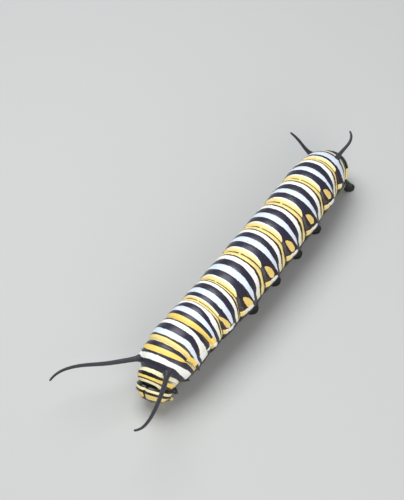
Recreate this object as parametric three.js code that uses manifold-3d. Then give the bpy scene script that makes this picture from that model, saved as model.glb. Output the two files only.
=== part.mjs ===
// Monarch butterfly larva (Danaus plexippus), last instar, life size in millimetres.
//
// +X runs toward the head, +Y to the animal's left, +Z up. The animal stands on z = 0 on its
// true legs and prolegs. The body is thirteen rings threaded on one curved middle line, from
// thorax_1 behind the head to abdomen_10 at the tail. Each ring, leg and filament is a closed
// piece of its own, and a 0.3 mm slit parts each piece from the next.
import * as THREE from "three";
import { mergeVertices } from "three/addons/utils/BufferGeometryUtils.js";
import Module from "manifold-3d";

const wasm = await Module();
wasm.setup();

// Driving dimensions

const SLIT = 0.3; // clear space between two neighbouring pieces
const BACK_HEIGHT = 4.6; // height of the middle line over the floor at the middle of the body
const HALFWAY_X = -0.36; // x of the crease between abdomen_4 and abdomen_5
const BOX_MIDDLE = { x: 5.42, y: -2.44 }; // middle of the whole animal's box, moved onto the origin
const RING_SIDES = 28;
const RING_STEPS = 7;
const BELLY_FLAT = 0.94; // the belly is a little flatter than the back
const CREASE_DEPTH = 0.055; // share of the radius lost at a crease between two rings

// Each ring: its length, its radius and how far it points downward, in degrees
const RINGS = [
  { name: "thorax_1", long: 1.5, radius: 1.99, down: 28 },
  { name: "thorax_2", long: 2.1, radius: 2.71, down: 19 },
  { name: "thorax_3", long: 2.6, radius: 2.97, down: 8 },
  { name: "abdomen_1", long: 2.8, radius: 2.94, down: 2 },
  { name: "abdomen_2", long: 3.0, radius: 2.99, down: 0 },
  { name: "abdomen_3", long: 4.2, radius: 3.08, down: 0 },
  { name: "abdomen_4", long: 4.0, radius: 3.07, down: 0 },
  { name: "abdomen_5", long: 3.9, radius: 3.03, down: 0 },
  { name: "abdomen_6", long: 4.0, radius: 2.97, down: 0 },
  { name: "abdomen_7", long: 3.3, radius: 2.86, down: -3 },
  { name: "abdomen_8", long: 2.4, radius: 2.6, down: -25 },
  { name: "abdomen_9", long: 1.1, radius: 2.26, down: -40 },
  { name: "abdomen_10", long: 1.3, radius: 1.6, down: -56 },
];
// Sideways bend of the body: degrees to the left at lengths measured back from the neck
const BEND_AT = [0, 4, 9, 16, 22, 29, 36.2];
const BEND = [-0.6, -4.3, -4.4, -0.3, -0.1, 3.4, 0.5];

const HEAD = {
  centre: [19.43, -0.61, 2.47],
  down: 42, // the face looks this many degrees below level
  roll: 13, // the crown leans this many degrees to the animal's right as it bites
  halfWidth: 1.95,
  halfHeight: 1.86,
  front: 1.44, // how far the face bulges ahead of the widest place
  back: 0.72, // how far the capsule reaches behind it
  sides: 30,
  steps: 20,
};
const BEAD = { radius: 0.13, sides: 8, steps: 6 }; // one of the six simple eyes on each cheek

// The soft body rolls a little on its feet: the middle of the back is this many degrees to the right
const LEAN = 11;

const FRONT_FILAMENT = { long: 10.2, at: 1.9, round: 50, radii: [0.3, 0.27, 0.26, 0.21, 0.14] };
const REAR_FILAMENT = { long: 4.1, at: 32.6, round: 36, radii: [0.28, 0.23, 0.22, 0.2, 0.14] };
// Compass and climb of each filament at five places from root to tip, in degrees
const FILAMENTS = [
  { name: "front_filament_right", kind: FRONT_FILAMENT, side: -1,
    compass: [-41, -41, -43, -29, 6], climb: [6, 8, 15, 13, 0] },
  { name: "front_filament_left", kind: FRONT_FILAMENT, side: 1,
    compass: [29, 22, 19, 12, -12], climb: [12, 13, 17, 27, 47] },
  { name: "rear_filament_right", kind: REAR_FILAMENT, side: -1,
    compass: [-68, -72, -75, -73, -71], climb: [42, 52, 57, 50, 40] },
  { name: "rear_filament_left", kind: REAR_FILAMENT, side: 1,
    compass: [155, 154, 164, 198, 246], climb: [66, 46, 28, 18, 11] },
];
const FILAMENT_SIDES = 8;
const FILAMENT_STEPS = 16;

// True legs: radius at the hip, knee and claw, and how far each foot stands out and back
const LEG = { sides: 10, radii: [0.42, 0.4, 0.3, 0.22, 0.16], spread: 1.62, hip: 1.0 };
const LEG_BACK = { thorax_1: -0.35, thorax_2: 0.35, thorax_3: 0.45 };

// Prolegs: where each foot stands (x) and the half sizes of its shank and sole
const PROLEG = { sides: 16, shank: 0.8, ankle: 0.6, sole: [0.72, 0.62], spread: 1.5, root: 1.5 };
const PROLEG_FEET = { abdomen_3: 4.6, abdomen_4: 0.2, abdomen_5: -4.15, abdomen_6: -8.2 };
const ANAL_PROLEG = { back: 1.2, spread: 1.95, shank: 0.74, ankle: 0.58, sole: [0.66, 0.58] };

// Colours of the living animal
const LOOKS = {
  skin: { color: 0xd9b45c, roughness: 0.55, metalness: 0 },
  dark: { color: 0x15151b, roughness: 0.45, metalness: 0 },
  shell: { color: 0xe0c070, roughness: 0.28, metalness: 0 },
};

const radians = THREE.MathUtils.degToRad;

// A smooth curve through given values that never overshoots them
function through(places, values) {
  const last = places.length - 1;
  const slope = [];
  for (let i = 0; i < last; i += 1) {
    slope.push((values[i + 1] - values[i]) / (places[i + 1] - places[i]));
  }
  const tangent = places.map((_, i) => {
    if (i === 0) return slope[0];
    if (i === last) return slope[last - 1];
    if (slope[i - 1] * slope[i] <= 0) return 0;
    return (2 * slope[i - 1] * slope[i]) / (slope[i - 1] + slope[i]);
  });
  return (at) => {
    const x = Math.min(Math.max(at, places[0]), places[last]);
    let i = 0;
    while (i < last - 1 && x > places[i + 1]) i += 1;
    const span = places[i + 1] - places[i];
    const t = (x - places[i]) / span;
    const rise = t * t * (3 - 2 * t);
    const lead = t * (1 - t) * (1 - t) * span * tangent[i];
    const trail = t * t * (t - 1) * span * tangent[i + 1];
    return values[i] + rise * (values[i + 1] - values[i]) + lead + trail;
  };
}

// The middle line of the body

const starts = [0];
for (const ring of RINGS) starts.push(starts.at(-1) + ring.long);
const bodyLength = starts.at(-1);
const middles = RINGS.map((ring, i) => starts[i] + ring.long / 2);
const downAt = through(middles, RINGS.map((ring) => ring.down));
const bendAt = through(BEND_AT, BEND);
const radiusAt = through(
  [0, ...middles, bodyLength],
  [RINGS[0].radius * 0.93, ...RINGS.map((ring) => ring.radius), RINGS.at(-1).radius * 0.8],
);

// Direction toward the head at a place measured back from the neck
function headward(at) {
  const down = radians(downAt(at));
  const bend = radians(bendAt(at));
  return new THREE.Vector3(
    Math.cos(down) * Math.cos(bend), Math.cos(down) * Math.sin(bend), -Math.sin(down));
}

const LINE_STEP = 0.02;
const linePoints = Math.round(bodyLength / LINE_STEP) + 1;

// Points of the middle line, walked out from the crease behind abdomen_4 both ways
function middleLine() {
  const points = new Array(linePoints);
  const halfway = Math.round(starts[7] / LINE_STEP);
  points[halfway] = new THREE.Vector3(HALFWAY_X, 0, BACK_HEIGHT);
  for (let i = halfway - 1; i >= 0; i -= 1) {
    points[i] = points[i + 1].clone().addScaledVector(headward((i + 0.5) * LINE_STEP), LINE_STEP);
  }
  for (let i = halfway + 1; i < linePoints; i += 1) {
    points[i] = points[i - 1].clone().addScaledVector(headward((i - 0.5) * LINE_STEP), -LINE_STEP);
  }
  return points;
}
const line = middleLine();

// Centre, left and up directions of the body's cross-section at a place; it may lie past the end
function section(at) {
  const inside = Math.min(Math.max(at, 0), bodyLength);
  const ahead = headward(inside);
  const centre = line[Math.min(Math.round(inside / LINE_STEP), linePoints - 1)].clone();
  centre.addScaledVector(ahead, inside - at);
  const left = new THREE.Vector3(0, 0, 1).cross(ahead).normalize();
  const up = ahead.clone().cross(left);
  return { centre, ahead, left, up };
}

// A point on the body's wall; round is measured from the top of the section toward the left
function wall(at, round, radius) {
  const { centre, left, up } = section(at);
  const rise = Math.cos(radians(round));
  return centre
    .addScaledVector(up, radius * rise * (rise < 0 ? BELLY_FLAT : 1))
    .addScaledVector(left, radius * Math.sin(radians(round)));
}

// Closed pieces

// Volume enclosed by a closed triangle mesh, negative if it is inside out
function volume(points, faces) {
  let total = 0;
  for (const [a, b, c] of faces) {
    total += points[a].dot(points[b].clone().cross(points[c]));
  }
  return total / 6;
}

// A closed piece through a row of rings of equal count, with a middle point on each end
function loft(rings) {
  const sides = rings[0].length;
  const points = rings.flat();
  const faces = [];
  const middleOf = (ring) => ring
    .reduce((sum, point) => sum.add(point), new THREE.Vector3())
    .divideScalar(sides);
  for (let r = 0; r < rings.length - 1; r += 1) {
    for (let k = 0; k < sides; k += 1) {
      const a = r * sides + k;
      const b = r * sides + ((k + 1) % sides);
      faces.push([a, b, b + sides], [a, b + sides, a + sides]);
    }
  }
  const first = points.push(middleOf(rings[0])) - 1;
  const last = points.push(middleOf(rings.at(-1))) - 1;
  const tail = (rings.length - 1) * sides;
  for (let k = 0; k < sides; k += 1) {
    const next = (k + 1) % sides;
    faces.push([next, k, first], [tail + k, tail + next, last]);
  }
  const outward = volume(points, faces) > 0;
  const geometry = new THREE.BufferGeometry().setFromPoints(points);
  geometry.setIndex(faces.flatMap(([a, b, c]) => (outward ? [a, b, c] : [a, c, b])));
  return geometry;
}

// A round limb along a path, with a radius at each of its points
function limb(path, radii, sides) {
  const curve = new THREE.CatmullRomCurve3(path);
  const steps = radii.length - 1;
  const thick = through(radii.map((_, i) => i / steps), radii);
  const rings = [];
  const count = Math.max(steps * 2, path.length * 2 - 2);
  const side = new THREE.Vector3(0, 1, 0);
  for (let i = 0; i <= count; i += 1) {
    const t = i / count;
    const ahead = curve.getTangentAt(t);
    const across = side.clone().addScaledVector(ahead, -side.dot(ahead)).normalize();
    const over = ahead.clone().cross(across);
    const centre = curve.getPointAt(t);
    const ring = [];
    for (let k = 0; k < sides; k += 1) {
      const turn = (k / sides) * 2 * Math.PI;
      ring.push(centre.clone()
        .addScaledVector(across, thick(t) * Math.cos(turn))
        .addScaledVector(over, thick(t) * Math.sin(turn)));
    }
    rings.push(ring);
  }
  return loft(rings);
}

function toSolid(geometry) {
  const plain = geometry.clone();
  plain.deleteAttribute("normal");
  plain.deleteAttribute("uv");
  const merged = mergeVertices(plain, 1e-4);
  return new wasm.Manifold(new wasm.Mesh({
    numProp: 3,
    vertProperties: new Float32Array(merged.attributes.position.array),
    triVerts: new Uint32Array(merged.index.array),
  }));
}

// The largest closed surface of a solid, as a geometry
function toGeometry(solid) {
  const largest = solid.decompose().reduce((a, b) => (a.volume() > b.volume() ? a : b));
  const mesh = largest.getMesh();
  const geometry = new THREE.BufferGeometry();
  geometry.setAttribute("position", new THREE.BufferAttribute(mesh.vertProperties, 3));
  geometry.setIndex(new THREE.BufferAttribute(mesh.triVerts, 1));
  return geometry;
}

function cutClear(geometry, ...others) {
  return toGeometry(others.reduce((solid, other) => solid.subtract(other), toSolid(geometry)));
}

const larva = new THREE.Group();
larva.position.set(-BOX_MIDDLE.x, -BOX_MIDDLE.y, 0);

function add(name, geometry, look) {
  const mesh = new THREE.Mesh(geometry, new THREE.MeshStandardMaterial(LOOKS[look]));
  mesh.name = name;
  larva.add(mesh);
}

// Body rings

// Share of the radius along a ring: full in the middle, drawn in at the creases
function crown(t, index) {
  const edge = Math.abs(2 * t - 1);
  let share = 1.01 - CREASE_DEPTH * edge ** 4;
  if (index === 0 && t < 0.5) share -= 0.1 * (1 - 2 * t) ** 2;
  if (index === RINGS.length - 1) share = Math.sqrt(1 - 0.8 * t * t);
  return share;
}

// One ring of the body, grown outward and lengthwise by a clearance where it is a cutter
function bodyRing(index, clearance = 0) {
  const from = starts[index] + SLIT / 2 - clearance;
  const to = starts[index + 1] - SLIT / 2 + clearance;
  const rings = [];
  for (let step = 0; step <= RING_STEPS; step += 1) {
    const t = step / RING_STEPS;
    const at = from + (to - from) * t;
    const radius = radiusAt(at) * crown(t, index) + clearance;
    rings.push(Array.from({ length: RING_SIDES }, (_, k) =>
      wall(at, (k / RING_SIDES) * 360, radius)));
  }
  return loft(rings);
}
const ringCutters = RINGS.map((_, index) => toSolid(bodyRing(index, SLIT)));
const ringNumber = (name) => RINGS.findIndex((ring) => ring.name === name);

// The cutters of one ring and its two neighbours
function cuttersNear(index) {
  return ringCutters.slice(Math.max(index - 1, 0), index + 2);
}

// Head

const headFrame = (() => {
  const down = radians(HEAD.down);
  const bend = radians(BEND[0]);
  const face = new THREE.Vector3(
    Math.cos(down) * Math.cos(bend), Math.cos(down) * Math.sin(bend), -Math.sin(down));
  const left = new THREE.Vector3(0, 0, 1).cross(face).normalize();
  // The neck twists about the body's long axis, so the face swings to the left as the crown leans
  const twist = new THREE.Vector3(1, 0, 0);
  for (const axis of [face, left]) axis.applyAxisAngle(twist, radians(HEAD.roll));
  return { face, left, up: face.clone().cross(left), centre: new THREE.Vector3(...HEAD.centre) };
})();

// A place in the head's own directions: forward out of the face, to its left, up to the crown
function inHead(forward, left, up) {
  return headFrame.centre.clone()
    .addScaledVector(headFrame.face, forward)
    .addScaledVector(headFrame.left, left)
    .addScaledVector(headFrame.up, up);
}

// Point of the head's shell; round goes from the crown over the left cheek, deep from face to neck
function shellPoint(round, deep, clearance = 0) {
  const sideways = Math.sin(deep) * Math.sin(round);
  const upward = Math.sin(deep) * Math.cos(round);
  const forward = Math.cos(deep);
  const reach = (forward > 0 ? HEAD.front : HEAD.back) + clearance;
  // The two cheeks swell apart from the seam that runs down the crown
  const seam = 0.1 * Math.exp(-((sideways / 0.13) ** 2)) * Math.max(0, upward + 0.1);
  const jaw = upward < 0 ? 1 - 0.16 * upward * upward : 1;
  return inHead(
    reach * forward * (1 - seam * 0.5),
    (HEAD.halfWidth + clearance) * sideways * jaw,
    (HEAD.halfHeight + clearance) * upward * (1 - seam),
  );
}

function headShell(clearance = 0) {
  const rings = [];
  for (let step = 1; step < HEAD.steps; step += 1) {
    const deep = (step / HEAD.steps) * Math.PI;
    rings.push(Array.from({ length: HEAD.sides }, (_, k) =>
      shellPoint((k / HEAD.sides) * 2 * Math.PI, deep, clearance)));
  }
  return loft(rings);
}
const headCutter = toSolid(headShell(SLIT));

// Six simple eyes low on each cheek: five in an arc and one below, as round and deep angles
const EYES = [[118, 50], [112, 60], [114, 70], [122, 77], [131, 72], [136, 56]];

function head() {
  let solid = toSolid(headShell());
  for (const side of [1, -1]) {
    for (const [round, deep] of EYES) {
      const bead = new THREE.SphereGeometry(BEAD.radius, BEAD.sides, BEAD.steps);
      const place = shellPoint(side * radians(round), radians(deep));
      bead.translate(place.x, place.y, place.z);
      solid = solid.add(toSolid(bead));
    }
  }
  return toGeometry(solid);
}
add("head", head(), "shell");

// A rounded block from rings across a stretch of the face, for lips and jaws
function mouthPiece(path, radii, flat) {
  const rings = path.map(([forward, left, up], i) => Array.from({ length: 12 }, (_, k) => {
    const turn = (k / 12) * 2 * Math.PI;
    return inHead(
      forward + radii[i] * flat * Math.cos(turn), left + radii[i] * Math.sin(turn), up);
  }));
  return cutClear(loft(rings), headCutter);
}

// The upper lip hangs over the two jaws, and the lower lip closes the mouth behind them
add("upper_lip", mouthPiece(
  [[0.78, 0, -1.3], [0.84, 0, -1.75], [0.82, 0, -2.05], [0.78, 0, -2.16]],
  [0.5, 0.55, 0.5, 0.36], 0.36), "dark");
for (const [side, word] of [[1, "left"], [-1, "right"]]) {
  add(`jaw_${word}`, mouthPiece(
    [[0.2, side * 0.48, -1.4], [0.2, side * 0.47, -1.9], [0.2, side * 0.44, -2.12],
      [0.2, side * 0.42, -2.2]],
    [0.29, 0.31, 0.26, 0.18], 0.85), "dark");
}
add("lower_lip", mouthPiece(
  [[-0.36, 0, -1.3], [-0.38, 0, -1.8], [-0.36, 0, -2.1], [-0.33, 0, -2.22]],
  [0.42, 0.42, 0.3, 0.2], 0.55), "dark");

// Short stout antenna beside each jaw
for (const [side, word] of [[1, "left"], [-1, "right"]]) {
  const path = [[0.5, 0.9, -1.0], [0.62, 1.1, -1.5], [0.74, 1.15, -1.75], [0.84, 1.16, -1.96]];
  const points = path.map(([forward, left, up]) => inHead(forward, side * left, up));
  add(`antenna_${word}`, cutClear(limb(points, [0.26, 0.25, 0.2, 0.12], 10), headCutter), "shell");
}

// The first ring is hollowed in front for the head
RINGS.forEach((ring, index) => {
  const solid = bodyRing(index);
  add(ring.name, index === 0 ? cutClear(solid, headCutter) : solid, "skin");
});

// Filaments

// Path of a filament, walked out from its root along its compass and climb angles
function filamentPath({ kind, side, compass, climb }) {
  const places = compass.map((_, i) => i / (compass.length - 1));
  const compassAt = through(places, compass);
  const climbAt = through(places, climb);
  const root = wall(kind.at, side * kind.round - LEAN, radiusAt(kind.at) * 0.9);
  const path = [root];
  const step = kind.long / FILAMENT_STEPS;
  for (let i = 0; i < FILAMENT_STEPS; i += 1) {
    const t = (i + 0.5) / FILAMENT_STEPS;
    const climbing = radians(climbAt(t));
    const heading = radians(compassAt(t));
    path.push(path.at(-1).clone().add(new THREE.Vector3(
      Math.cos(climbing) * Math.cos(heading),
      Math.cos(climbing) * Math.sin(heading),
      Math.sin(climbing)).multiplyScalar(step)));
  }
  return path;
}

// Each filament is a limb cut off just clear of the rings that it rises from
for (const filament of FILAMENTS) {
  const at = starts.findIndex((start) => start > filament.kind.at) - 1;
  const tube = limb(filamentPath(filament), filament.kind.radii, FILAMENT_SIDES);
  add(filament.name, cutClear(tube, ...cuttersNear(at)), "dark");
}

// True legs

// A jointed leg from hip to claw; it follows the tilt of its ring down to the floor
function trueLeg(name, side) {
  const index = ringNumber(name);
  const { centre, left, up } = section(middles[index]);
  const radius = RINGS[index].radius;
  const floor = centre.clone().addScaledVector(up, -centre.z / up.z);
  floor.x -= LEG_BACK[name];
  const foot = floor.addScaledVector(left, side * LEG.spread);
  foot.z = 0;
  const hip = centre.clone()
    .addScaledVector(up, -0.7 * radius)
    .addScaledVector(left, side * LEG.hip);
  const knee = hip.clone().lerp(foot, 0.5).addScaledVector(left, side * 0.22);
  const claw = foot.clone().setZ(-0.3);
  const leg = limb([hip, knee, foot.clone().setZ(0.25), claw], LEG.radii, LEG.sides);
  return cutClear(leg, ...cuttersNear(index), headCutter, underFloor);
}

// A slab under the floor that trims every sole level
const underFloor = toSolid(new THREE.BoxGeometry(80, 80, 4).translate(0, 0, -2));

for (const name of Object.keys(LEG_BACK)) {
  for (const [side, word] of [[1, "left"], [-1, "right"]]) {
    add(`leg_${name.at(-1)}_${word}`, trueLeg(name, side), "dark");
  }
}

// Prolegs

// A fleshy foot: oval rings from inside the body down to the flat sole on the floor
function fleshyFoot(root, foot, shank, ankle, sole, cutters) {
  const stations = [[0, shank, shank], [0.35, shank, shank * 0.95], [0.72, ankle, ankle],
    [0.88, sole[0] * 0.97, sole[1] * 0.97], [0.96, sole[0], sole[1]], [1, sole[0] * 0.92, sole[1] * 0.9]];
  const rings = stations.map(([t, alongX, alongY]) => {
    const centre = root.clone().lerp(foot, t);
    return Array.from({ length: PROLEG.sides }, (_, k) => {
      const turn = (k / PROLEG.sides) * 2 * Math.PI;
      return new THREE.Vector3(
        centre.x + alongX * Math.cos(turn), centre.y + alongY * Math.sin(turn), centre.z);
    });
  });
  return cutClear(loft(rings), ...cutters);
}

for (const [name, footX] of Object.entries(PROLEG_FEET)) {
  const index = ringNumber(name);
  const { centre, left } = section(middles[index] + 0.15 * RINGS[index].long);
  for (const [side, word] of [[1, "left"], [-1, "right"]]) {
    const root = centre.clone().addScaledVector(left, side * PROLEG.root).setZ(centre.z - 1.9);
    const foot = new THREE.Vector3(footX, centre.y + side * PROLEG.spread, 0);
    const piece = fleshyFoot(
      root, foot, PROLEG.shank, PROLEG.ankle, PROLEG.sole, cuttersNear(index));
    add(`proleg_${name.at(-1)}_${word}`, piece, "dark");
  }
}

// The last pair reaches out sideways and back under the tail
for (const [side, word] of [[1, "left"], [-1, "right"]]) {
  const { centre, left } = section(middles[11]);
  const root = centre.clone().addScaledVector(left, side * 0.95).setZ(centre.z - 1.0);
  const foot = centre.clone().addScaledVector(left, side * ANAL_PROLEG.spread).setZ(0);
  foot.x -= ANAL_PROLEG.back;
  const piece = fleshyFoot(root, foot, ANAL_PROLEG.shank, ANAL_PROLEG.ankle, ANAL_PROLEG.sole,
    ringCutters.slice(9));
  add(`anal_proleg_${word}`, piece, "dark");
}

export default larva;
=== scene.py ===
# %% [markdown]
# Monarch larva, dressed over its CAD frame.
# The solids give the animal's size, bend and feet. This lesson lays one living skin over the
# thirteen body rings, sets the head, legs, prolegs and filaments on it, and paints the bands
# with shader nodes. Everything is worked out in millimetres and stored in metres.

# %% Load the frame
import functools
import math
import random
import bpy
import bmesh
from mathutils import Matrix, Vector, noise


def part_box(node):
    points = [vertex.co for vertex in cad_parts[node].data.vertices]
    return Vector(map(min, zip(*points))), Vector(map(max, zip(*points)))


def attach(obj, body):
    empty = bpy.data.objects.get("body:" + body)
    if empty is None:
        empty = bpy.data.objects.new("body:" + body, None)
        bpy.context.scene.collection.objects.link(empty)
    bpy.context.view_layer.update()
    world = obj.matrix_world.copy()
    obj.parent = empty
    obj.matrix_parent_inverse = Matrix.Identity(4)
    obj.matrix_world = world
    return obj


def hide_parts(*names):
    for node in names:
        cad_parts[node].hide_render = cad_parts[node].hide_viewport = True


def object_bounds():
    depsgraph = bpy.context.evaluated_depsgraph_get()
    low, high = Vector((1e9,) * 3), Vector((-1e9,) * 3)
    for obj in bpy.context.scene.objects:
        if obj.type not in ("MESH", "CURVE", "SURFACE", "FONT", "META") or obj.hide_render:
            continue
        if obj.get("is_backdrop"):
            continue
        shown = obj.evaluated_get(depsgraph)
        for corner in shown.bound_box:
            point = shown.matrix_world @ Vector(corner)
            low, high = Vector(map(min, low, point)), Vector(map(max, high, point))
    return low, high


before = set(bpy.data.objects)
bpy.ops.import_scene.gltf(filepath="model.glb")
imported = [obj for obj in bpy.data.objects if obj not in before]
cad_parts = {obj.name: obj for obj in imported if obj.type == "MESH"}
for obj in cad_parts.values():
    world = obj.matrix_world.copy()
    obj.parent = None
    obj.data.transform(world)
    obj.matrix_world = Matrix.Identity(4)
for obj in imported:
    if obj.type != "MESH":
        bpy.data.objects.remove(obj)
cad_low, cad_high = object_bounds()
MM = 0.001
SIDES = ((1, "left"), (-1, "right"))
print("solids in the frame:", len(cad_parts))

# %% [markdown]
# A larva's body is a row of rings on one bent middle line. The names, lengths, radii and
# tilts below are those of the solids, so the skin lands on them with no fitting. The start of
# the line is read from the frame itself: it is the crease between abdomen_4 and abdomen_5.

# %% Rings of the body
RINGS = [
    # name, length, radius, degrees that the ring points downward
    ("thorax_1", 1.5, 1.99, 28), ("thorax_2", 2.1, 2.71, 19), ("thorax_3", 2.6, 2.97, 8),
    ("abdomen_1", 2.8, 2.94, 2), ("abdomen_2", 3.0, 2.99, 0), ("abdomen_3", 4.2, 3.08, 0),
    ("abdomen_4", 4.0, 3.07, 0), ("abdomen_5", 3.9, 3.03, 0), ("abdomen_6", 4.0, 2.97, 0),
    ("abdomen_7", 3.3, 2.86, -3), ("abdomen_8", 2.4, 2.6, -25), ("abdomen_9", 1.1, 2.26, -40),
    ("abdomen_10", 1.3, 1.6, -56),
]
ABDOMEN_5, ABDOMEN_9, ABDOMEN_10 = 7, 11, 12
NECK_SHARE, TAIL_SHARE = 0.93, 0.8
# The line's compass heading, in degrees to the left of +X, at these millimetres from the neck
BEND_AT = (0, 4, 9, 16, 22, 29, 36.2)
BEND = (-0.6, -4.3, -4.4, -0.3, -0.1, 3.4, 0.5)
BACK_HEIGHT = 4.6
BELLY_FLAT = 0.94
STARTS = [sum(ring[1] for ring in RINGS[:i]) for i in range(len(RINGS) + 1)]
MIDDLES = [start + ring[1] / 2 for start, ring in zip(STARTS, RINGS)]
BODY_LENGTH = STARTS[-1]
print("body along its bend, mm:", round(BODY_LENGTH, 2))


# %% A smooth curve through a few values
def through(places, values):
    """Returns a function of place that passes through the values and never overshoots them."""
    last = len(places) - 1
    slope = [(values[i + 1] - values[i]) / (places[i + 1] - places[i]) for i in range(last)]
    tangent = [slope[0]]
    for i in range(1, last):
        turn = slope[i - 1] * slope[i]
        tangent.append(0 if turn <= 0 else 2 * turn / (slope[i - 1] + slope[i]))
    tangent.append(slope[-1])

    def value(at):
        x = min(max(at, places[0]), places[last])
        i = 0
        while i < last - 1 and x > places[i + 1]:
            i += 1
        span = places[i + 1] - places[i]
        t = (x - places[i]) / span
        rise = t * t * (3 - 2 * t) * (values[i + 1] - values[i])
        lead = t * (1 - t) ** 2 * span * tangent[i]
        trail = t * t * (t - 1) * span * tangent[i + 1]
        return values[i] + rise + lead + trail

    return value


down_at = through(MIDDLES, [ring[3] for ring in RINGS])
bend_at = through(BEND_AT, BEND)
radius_at = through(
    [0, *MIDDLES, BODY_LENGTH],
    [RINGS[0][2] * NECK_SHARE, *(ring[2] for ring in RINGS), RINGS[-1][2] * TAIL_SHARE])


# %% Walk the middle line
def heading(compass, climb):
    """A unit vector from degrees to the left of +X and degrees above level."""
    turn, rise = math.radians(compass), math.radians(climb)
    level = math.cos(rise)
    return Vector((level * math.cos(turn), level * math.sin(turn), math.sin(rise)))


def headward(at):
    return heading(bend_at(at), -down_at(at))


LINE_STEP = 0.02
HALFWAY = round(STARTS[ABDOMEN_5] / LINE_STEP)
front_low, front_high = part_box("abdomen_4")
rear_low, rear_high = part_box("abdomen_5")
crease = Vector((
    (front_low.x + rear_high.x) / 2 / MM,
    (front_low.y + front_high.y + rear_low.y + rear_high.y) / 4 / MM,
    BACK_HEIGHT))
line = {HALFWAY: crease}
for i in range(HALFWAY - 1, -1, -1):
    line[i] = line[i + 1] + headward((i + 0.5) * LINE_STEP) * LINE_STEP
for i in range(HALFWAY + 1, round(BODY_LENGTH / LINE_STEP) + 1):
    line[i] = line[i - 1] - headward((i - 0.5) * LINE_STEP) * LINE_STEP
print("crease between the fourth and fifth abdominal rings, mm:", [round(c, 2) for c in crease])


def section(at):
    """Centre, forward, left and up of the body's cross-section at a place, also past the ends."""
    inside = min(max(at, 0), BODY_LENGTH)
    ahead = headward(inside)
    whole = min(int(inside / LINE_STEP), len(line) - 2)
    centre = line[whole].lerp(line[whole + 1], inside / LINE_STEP - whole)
    centre = centre + ahead * (inside - at)
    left = Vector((0, 0, 1)).cross(ahead).normalized()
    return centre, ahead, left, ahead.cross(left)


def wall(at, around, radius):
    """A point on the body; around is in degrees from straight up to the left."""
    centre, _, left, up = section(at)
    rise = math.cos(math.radians(around))
    return (centre + up * (radius * rise * (BELLY_FLAT if rise < 0 else 1))
            + left * (radius * math.sin(math.radians(around))))


# %% [markdown]
# The bands of the living animal keep one order on every abdominal ring: yellow, black, wide
# white, black, narrow white, a dark line, yellow. Painted from a picture they would blur in
# close views, so each skin vertex carries numbers instead. "band" says which ring it is on and
# how far through that order, and "around" is its angle from the middle of the back. A shader
# turns these into crisp edges at any distance. The body rolls a little on its feet, so the
# middle of the back lies LEAN degrees to the animal's right of straight up.

# %% Where the bands lie on each ring
LEAN = 11
ORDER = (0, 0.16, 0.34, 0.55, 0.73, 0.84, 0.875, 1)
NARROWEST = 0.004
# Millimetres from the neck, along the back, at which each of the seven bands of a ring begins
EDGES = (
    (-0.3, 0.1, 0.375, 0.475, 0.725, 1.08, 1.24),
    (1.44, 2.06, 2.61, 2.77, 3.255, 3.5, 3.6),
    (3.695, 4.165, 4.285, 4.78, 5.5, 5.965, 6.05),
    (6.14, 6.66, 7.09, 7.685, 8.31, 8.545, 8.6),
    (8.93, 9.225, 9.69, 10.375, 11.1, 11.42, 11.57),
    (11.8, 12.45, 13.22, 14.03, 14.88, 15.41, 15.62),
    (16.15, 16.85, 17.6, 18.33, 19.07, 19.48, 19.67),
    (20.15, 20.8, 21.5, 22.2, 23.0, 23.42, 23.645),
    (24.14, 24.84, 25.55, 26.21, 26.98, 27.41, 27.6),
    (28.02, 28.57, 29.27, 29.84, 30.54, 30.86, 30.98),
    (31.3, 31.64, 31.82, 32.55, 32.85, 33.15, 33.4),
    (33.8, 33.9, 34.05, 34.2, 34.5, 34.7, 34.8),
    (34.9, 35.1, 35.3, 35.6, 35.8, 36.0, 36.1),
)
# Past 11 degrees from the middle of the back each of the seven edges leans forward, by these
# hundredths of a millimetre at 41, 56, 71, 86 and 101 degrees
SHIFT_AT = (0, 11, 41, 56, 71, 86, 101)
SHIFTS = {
    "thorax_1": (
        (0, 0, 0, 0, 0), (5, 20, 37, 54, 60), (3, 12, 25, 41, 45), (3, 4, 5, 7, 7),
        (-2, -5, -9, -13, -13), (7, 6, 3, -3, -3), (10, 8, 0, -10, -10)),
    "thorax_2": (
        (5, 5, 0, 0, 0), (-3, -8, 3, 9, 10), (5, 0, -4, -16, -20), (-10, -22, -50, -50, -50),
        (-6, -5, 5, 5, 5), (0, 0, 0, 0, 0), (0, 0, 5, 10, 10)),
    "thorax_3": (
        (-2, 0, 25, 35, 40), (3, 5, 21, 45, 50), (-9, 0, 12, 20, 20), (-7, 6, 27, 50, 50),
        (0, 17, 42, 80, 90), (5, 18, 25, 30, 30), (0, 0, 0, 0, 0)),
    "abdomen_1": (
        (-17, -30, -35, -42, -45), (-5, -7, -12, -10, -10), (0, -2, 0, 5, 10),
        (13, 23, 35, 48, 55), (28, 50, 55, 60, 65), (4, 19, 36, 54, 60), (0, 3, 17, 38, 55)),
    "other": (
        (0, 0, 28, 47, 55), (10, 20, 20, 25, 35), (11, 20, 13, 14, 35), (10, 24, 28, 60, 85),
        (17, 32, 52, 98, 100), (8, 27, 55, 90, 100), (2, 10, 33, 80, 105)),
}
SHIFT_CURVES = {name: [through(SHIFT_AT, (0, 0, *(n / 100 for n in row))) for row in rows]
                for name, rows in SHIFTS.items()}
SHIFT_SHARE = {4: 0.6, 10: 0.6, 11: 0.4, 12: 0.3}
# The front rings sit askew as the neck twists: millimetres further back on the left flank
SKEW = {0: 0.3, 1: 0.35, 2: 0.2, 3: 0.1}


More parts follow.
